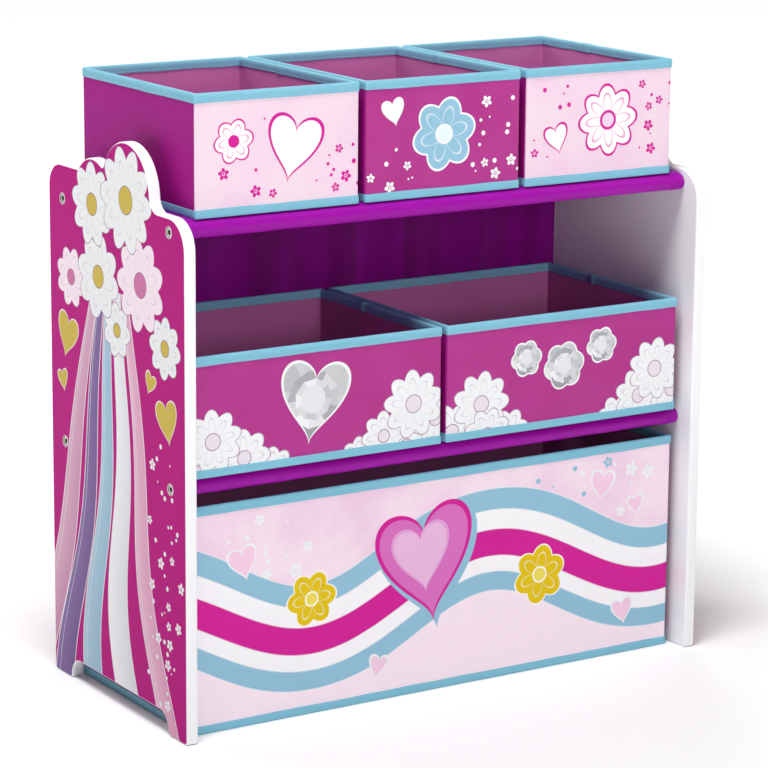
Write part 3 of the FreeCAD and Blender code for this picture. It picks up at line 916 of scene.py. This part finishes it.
print_flowers, art, colour = front_print("middle_right_front_print", "middle_right_bin", deep_pink, wine_pink)
for centre, size, petals in (((-134.0, 10.0), 30.0, 7), ((-66.0, 2.0), 24.0, 7), ((-100.0, 34.0), 34.0, 9),
                             ((-92.0, 2.0), 28.0, 8), ((66.0, 0.0), 24.0, 7), ((94.0, 20.0), 30.0, 8),
                             ((136.0, 22.0), 30.0, 7), ((114.0, 46.0), 33.0, 9)):
    colour = daisy(colour, art, centre, size, petals, pale_daisy, petals * 9.0)
for centre, size in (((-46.0, 74.0), 19.0), ((0.0, 62.0), 25.0), ((46.0, 78.0), 19.0)):
    stone = bloom(spot(art, centre, size, 0.4 * size), size, 6, 0.16)
    colour = facets(colour, art, stone, centre, size, 10.0, 1.8)
print_flowers.show({"Base Color": colour})
make_bin("middle_right_bin", print_flowers, "front_magenta", 5.0)

# ---------------------------------------------------------------------------
# Large bin on the floor: a pale pink front with a wavy striped ribbon from side
# to side, a large pink heart, two gold flowers and small outlined hearts.
print_wave, art, colour = front_print("bottom_front_print", "bottom_bin", pale_pink, airbrush_pink)
across, up, _ = art.split()
small_print = (1.2, 1.9, 2.8, 6.0, 8.0)
left_heart, right_heart = ((-226.0, 162.0), 17.0), ((196.0, 182.0), 16.0)
foot_heart = ((-74.0, 34.0), 12.0)
for area, keep_off, count, seed, line in (
        ((206.0, 178.0, 66.0, 26.0), right_heart, 24, 51, white_print),
        ((170.0, 190.0, 80.0, 18.0), right_heart, 12, 52, sky_blue),
        ((-200.0, 168.0, 70.0, 36.0), left_heart, 22, 53, white_print),
        ((-40.0, 30.0, 200.0, 14.0), foot_heart, 18, 54, white_print)):
    colour = strew(colour, art, area, [keep_off], count, seed, line, small_print)
swell = across * 0.0152 + 0.7
slope = swell.math("COSINE") * 0.52
wave = (up - swell.math("SINE") * 34.0 - 104.0) * (slope * slope + 1.0).math("POWER", -0.5)
white_ribbon = tone(250, 248, 251)
ribbon_ground = tone(251, 231, 242)
for level, stripe in ((60.0, sky_blue), (38.0, white_ribbon), (18.0, hot_pink), (-10.0, white_ribbon),
                      (-26.0, sky_blue), (-46.0, ribbon_ground)):
    below = level - wave
    colour = below.edge().mix(colour, stripe)
    colour = ((0.6 - abs(below)).edge(0.6) * 0.6).mix(colour, white_print)
gold_daisy = {"line": tone(252, 250, 240), "width": 1.6, "petal": tone(228, 194, 24),
              "middle": tone(240, 220, 96)}
colour = daisy(colour, art, (-150.0, 116.0), 29.0, 6, gold_daisy, 6.0)
colour = daisy(colour, art, (120.0, 100.0), 32.0, 6, gold_daisy, 20.0)
colour = heart(art, (-12.0, 122.0), 60.0, 8.0).edge().mix(colour, sky_blue)
colour = ink(colour, heart(art, (-16.0, 128.0), 57.0, 8.0), hot_pink, 5.0, tone(216, 112, 190))
colour = ink(colour, heart(art, (-22.0, 136.0), 34.0, 8.0), tone(226, 160, 212), 3.0, tone(234, 184, 222))
for (centre, size), turn in ((left_heart, 12.0), (right_heart, -10.0), (((240.0, 156.0), 11.0), 8.0),
                             (foot_heart, -14.0), (((226.0, 44.0), 14.0), 10.0)):
    colour = ink(colour, heart(art, centre, size, turn), white_print, 2.4, tone(246, 206, 230))
print_wave.show({"Base Color": colour})
make_bin("bottom_bin", print_wave, "front_pale_pink", 6.0)

# ---------------------------------------------------------------------------
# Studio: a pale floor that glows white far off, a faint white surround, and five
# round lamps: a strong one high at the front left, weak ones at the front and the
# right, and two behind.  The camera stands where the photograph was taken.
studio_floor = Finish("studio_floor", {"Specular IOR Level": 0.2, "Roughness": 0.8,
                                       "Emission Strength": 1.0})
glow_start, glow_full = 0.3, 2.3
past_start = reach(studio_floor.place) - glow_start
far_glow = past_start.math("MULTIPLY", 1.0 / (glow_full - glow_start), clamp=True)
studio_floor.show({"Base Color": studio_floor.noise(3.0).mix(tone(250, 250, 250), tone(252, 252, 252)),
                   "Emission Color": far_glow.mix((0.0, 0.0, 0.0, 1.0), (0.92, 0.92, 0.92, 1.0))})
floor_reach = 30.0
floor = place_mesh("studio_floor", [(-floor_reach, -floor_reach, 0.0), (floor_reach, -floor_reach, 0.0),
                                    (floor_reach, floor_reach, 0.0), (-floor_reach, floor_reach, 0.0)],
                   [(0, 1, 2, 3)], studio_floor)

surround = bpy.data.worlds.new("white_surround")
surround.use_nodes = True
surround.node_tree.nodes["Background"].inputs["Color"].default_value = (1.0, 1.0, 1.0, 1.0)
surround.node_tree.nodes["Background"].inputs["Strength"].default_value = 0.03
bpy.context.scene.world = surround
bpy.context.scene.view_settings.view_transform = "Standard"

# Each lamp's name, width, degrees from the front towards the left, degrees up, and watts.
aim = Vector((0.0, 0.0, 0.3))
lamp_reach = 3.2
for lamp_name, width, aside, height, power in (
        ("high_lamp", 1.3, 48.0, 71.0, 84.0), ("front_lamp", 0.8, 3.0, 15.0, 24.0),
        ("right_lamp", 1.3, -65.0, 38.0, 8.0), ("rear_left_lamp", 1.3, 150.0, 38.0, 31.0),
        ("rear_right_lamp", 1.3, -150.0, 38.0, 22.0)):
    lamp = bpy.data.lights.new(lamp_name, "AREA")
    lamp.shape = "DISK"
    lamp.size = width
    lamp.energy = power
    hung = bpy.data.objects.new(lamp_name, lamp)
    around, lift = math.radians(aside), math.radians(height)
    outward = Vector((-math.sin(around) * math.cos(lift), -math.cos(around) * math.cos(lift),
                      math.sin(lift)))
    hung.location = aim + outward * lamp_reach
    hung.rotation_euler = (-outward).to_track_quat("-Z", "Y").to_euler()
    bpy.context.scene.collection.objects.link(hung)

camera_at = (-1.64535, -2.58912, 0.99830)
camera_yaw, camera_pitch, camera_roll = 32.003, 12.008, 0.374
camera = bpy.data.cameras.new("camera")
camera.sensor_width = 36.0
camera.lens = 145.458
camera.shift_x, camera.shift_y = 0.0331, -0.0712
camera.clip_end = 100.0
stand = bpy.data.objects.new("camera", camera)
turn = (Matrix.Rotation(math.radians(-camera_yaw), 4, "Z")
        @ Matrix.Rotation(math.radians(90.0 - camera_pitch), 4, "X")
        @ Matrix.Rotation(math.radians(camera_roll), 4, "Z"))
stand.matrix_world = Matrix.Translation(camera_at) @ turn
bpy.context.scene.collection.objects.link(stand)
bpy.context.scene.camera = stand
